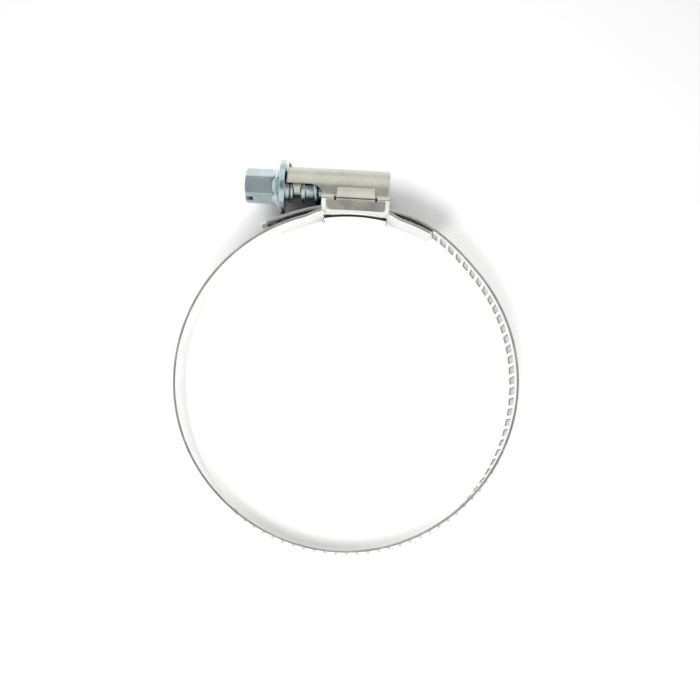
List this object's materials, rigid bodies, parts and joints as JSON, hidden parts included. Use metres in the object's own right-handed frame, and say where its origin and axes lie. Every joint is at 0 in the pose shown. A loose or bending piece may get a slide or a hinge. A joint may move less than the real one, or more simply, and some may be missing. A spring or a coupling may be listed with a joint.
{
  "type": "hose clamp",
  "caption": "Worm-drive hose clamp: a steel strip closed into a ring, its pressed thread drawn through a folded housing by a slotted hex-head worm screw.",
  "frame": {"origin": "centre of the ring, half way across the strip", "axes": "+Z along the ring's axis, +Y from the ring's centre to the housing, the screw along X with its head at -X"},
  "size_m": [0.0786, 0.0902, 0.0136],
  "materials": {
    "housing_steel": "satin stainless sheet with fine drawing marks",
    "saddle_steel": "satin stainless sheet, polished on its bends",
    "zinc_screw": "bright zinc plating with a bluish tint",
    "strip_steel": "bright stainless strip with a pressed thread"
  },
  "bodies": {
    "housing": {"housing_shell": "housing_steel", "saddle": "saddle_steel", "band_fixed_end": "strip_steel"},
    "screw": {"worm_screw": "zinc_screw"},
    "left_bow": {"band_left_bow": "strip_steel"},
    "right_bow": {"band_right_bow": "strip_steel"},
    "free_end": {"band_free_end": "strip_steel"}
  },
  "joints": [
    {"name": "screw_spin", "type": "hinge", "parent": "housing", "child": "screw", "pos_m": [0, 0.04435, 0], "axis": [1, 0, 0], "range_deg": [-720, 720]},
    {"name": "flex_left", "type": "hinge", "parent": "housing", "child": "left_bow", "pos_m": [-0.03377, 0.0189, 0], "axis": [0, 0, 1], "range_deg": [-2.4, 2.4]},
    {"name": "flex_bottom", "type": "hinge", "parent": "left_bow", "child": "right_bow", "pos_m": [0.00052, -0.0387, 0], "axis": [0, 0, 1], "range_deg": [-2.4, 2.4]},
    {"name": "flex_right", "type": "hinge", "parent": "right_bow", "child": "free_end", "pos_m": [0.03325, 0.0198, 0], "axis": [0, 0, 1], "range_deg": [-2.4, 2.4]}
  ],
  "couplings": [
    {"joint": "flex_left", "follows": "screw_spin", "ratio": 0.0032647},
    {"joint": "flex_bottom", "follows": "screw_spin", "ratio": 0.0032647},
    {"joint": "flex_right", "follows": "screw_spin", "ratio": 0.0032647}
  ]
}
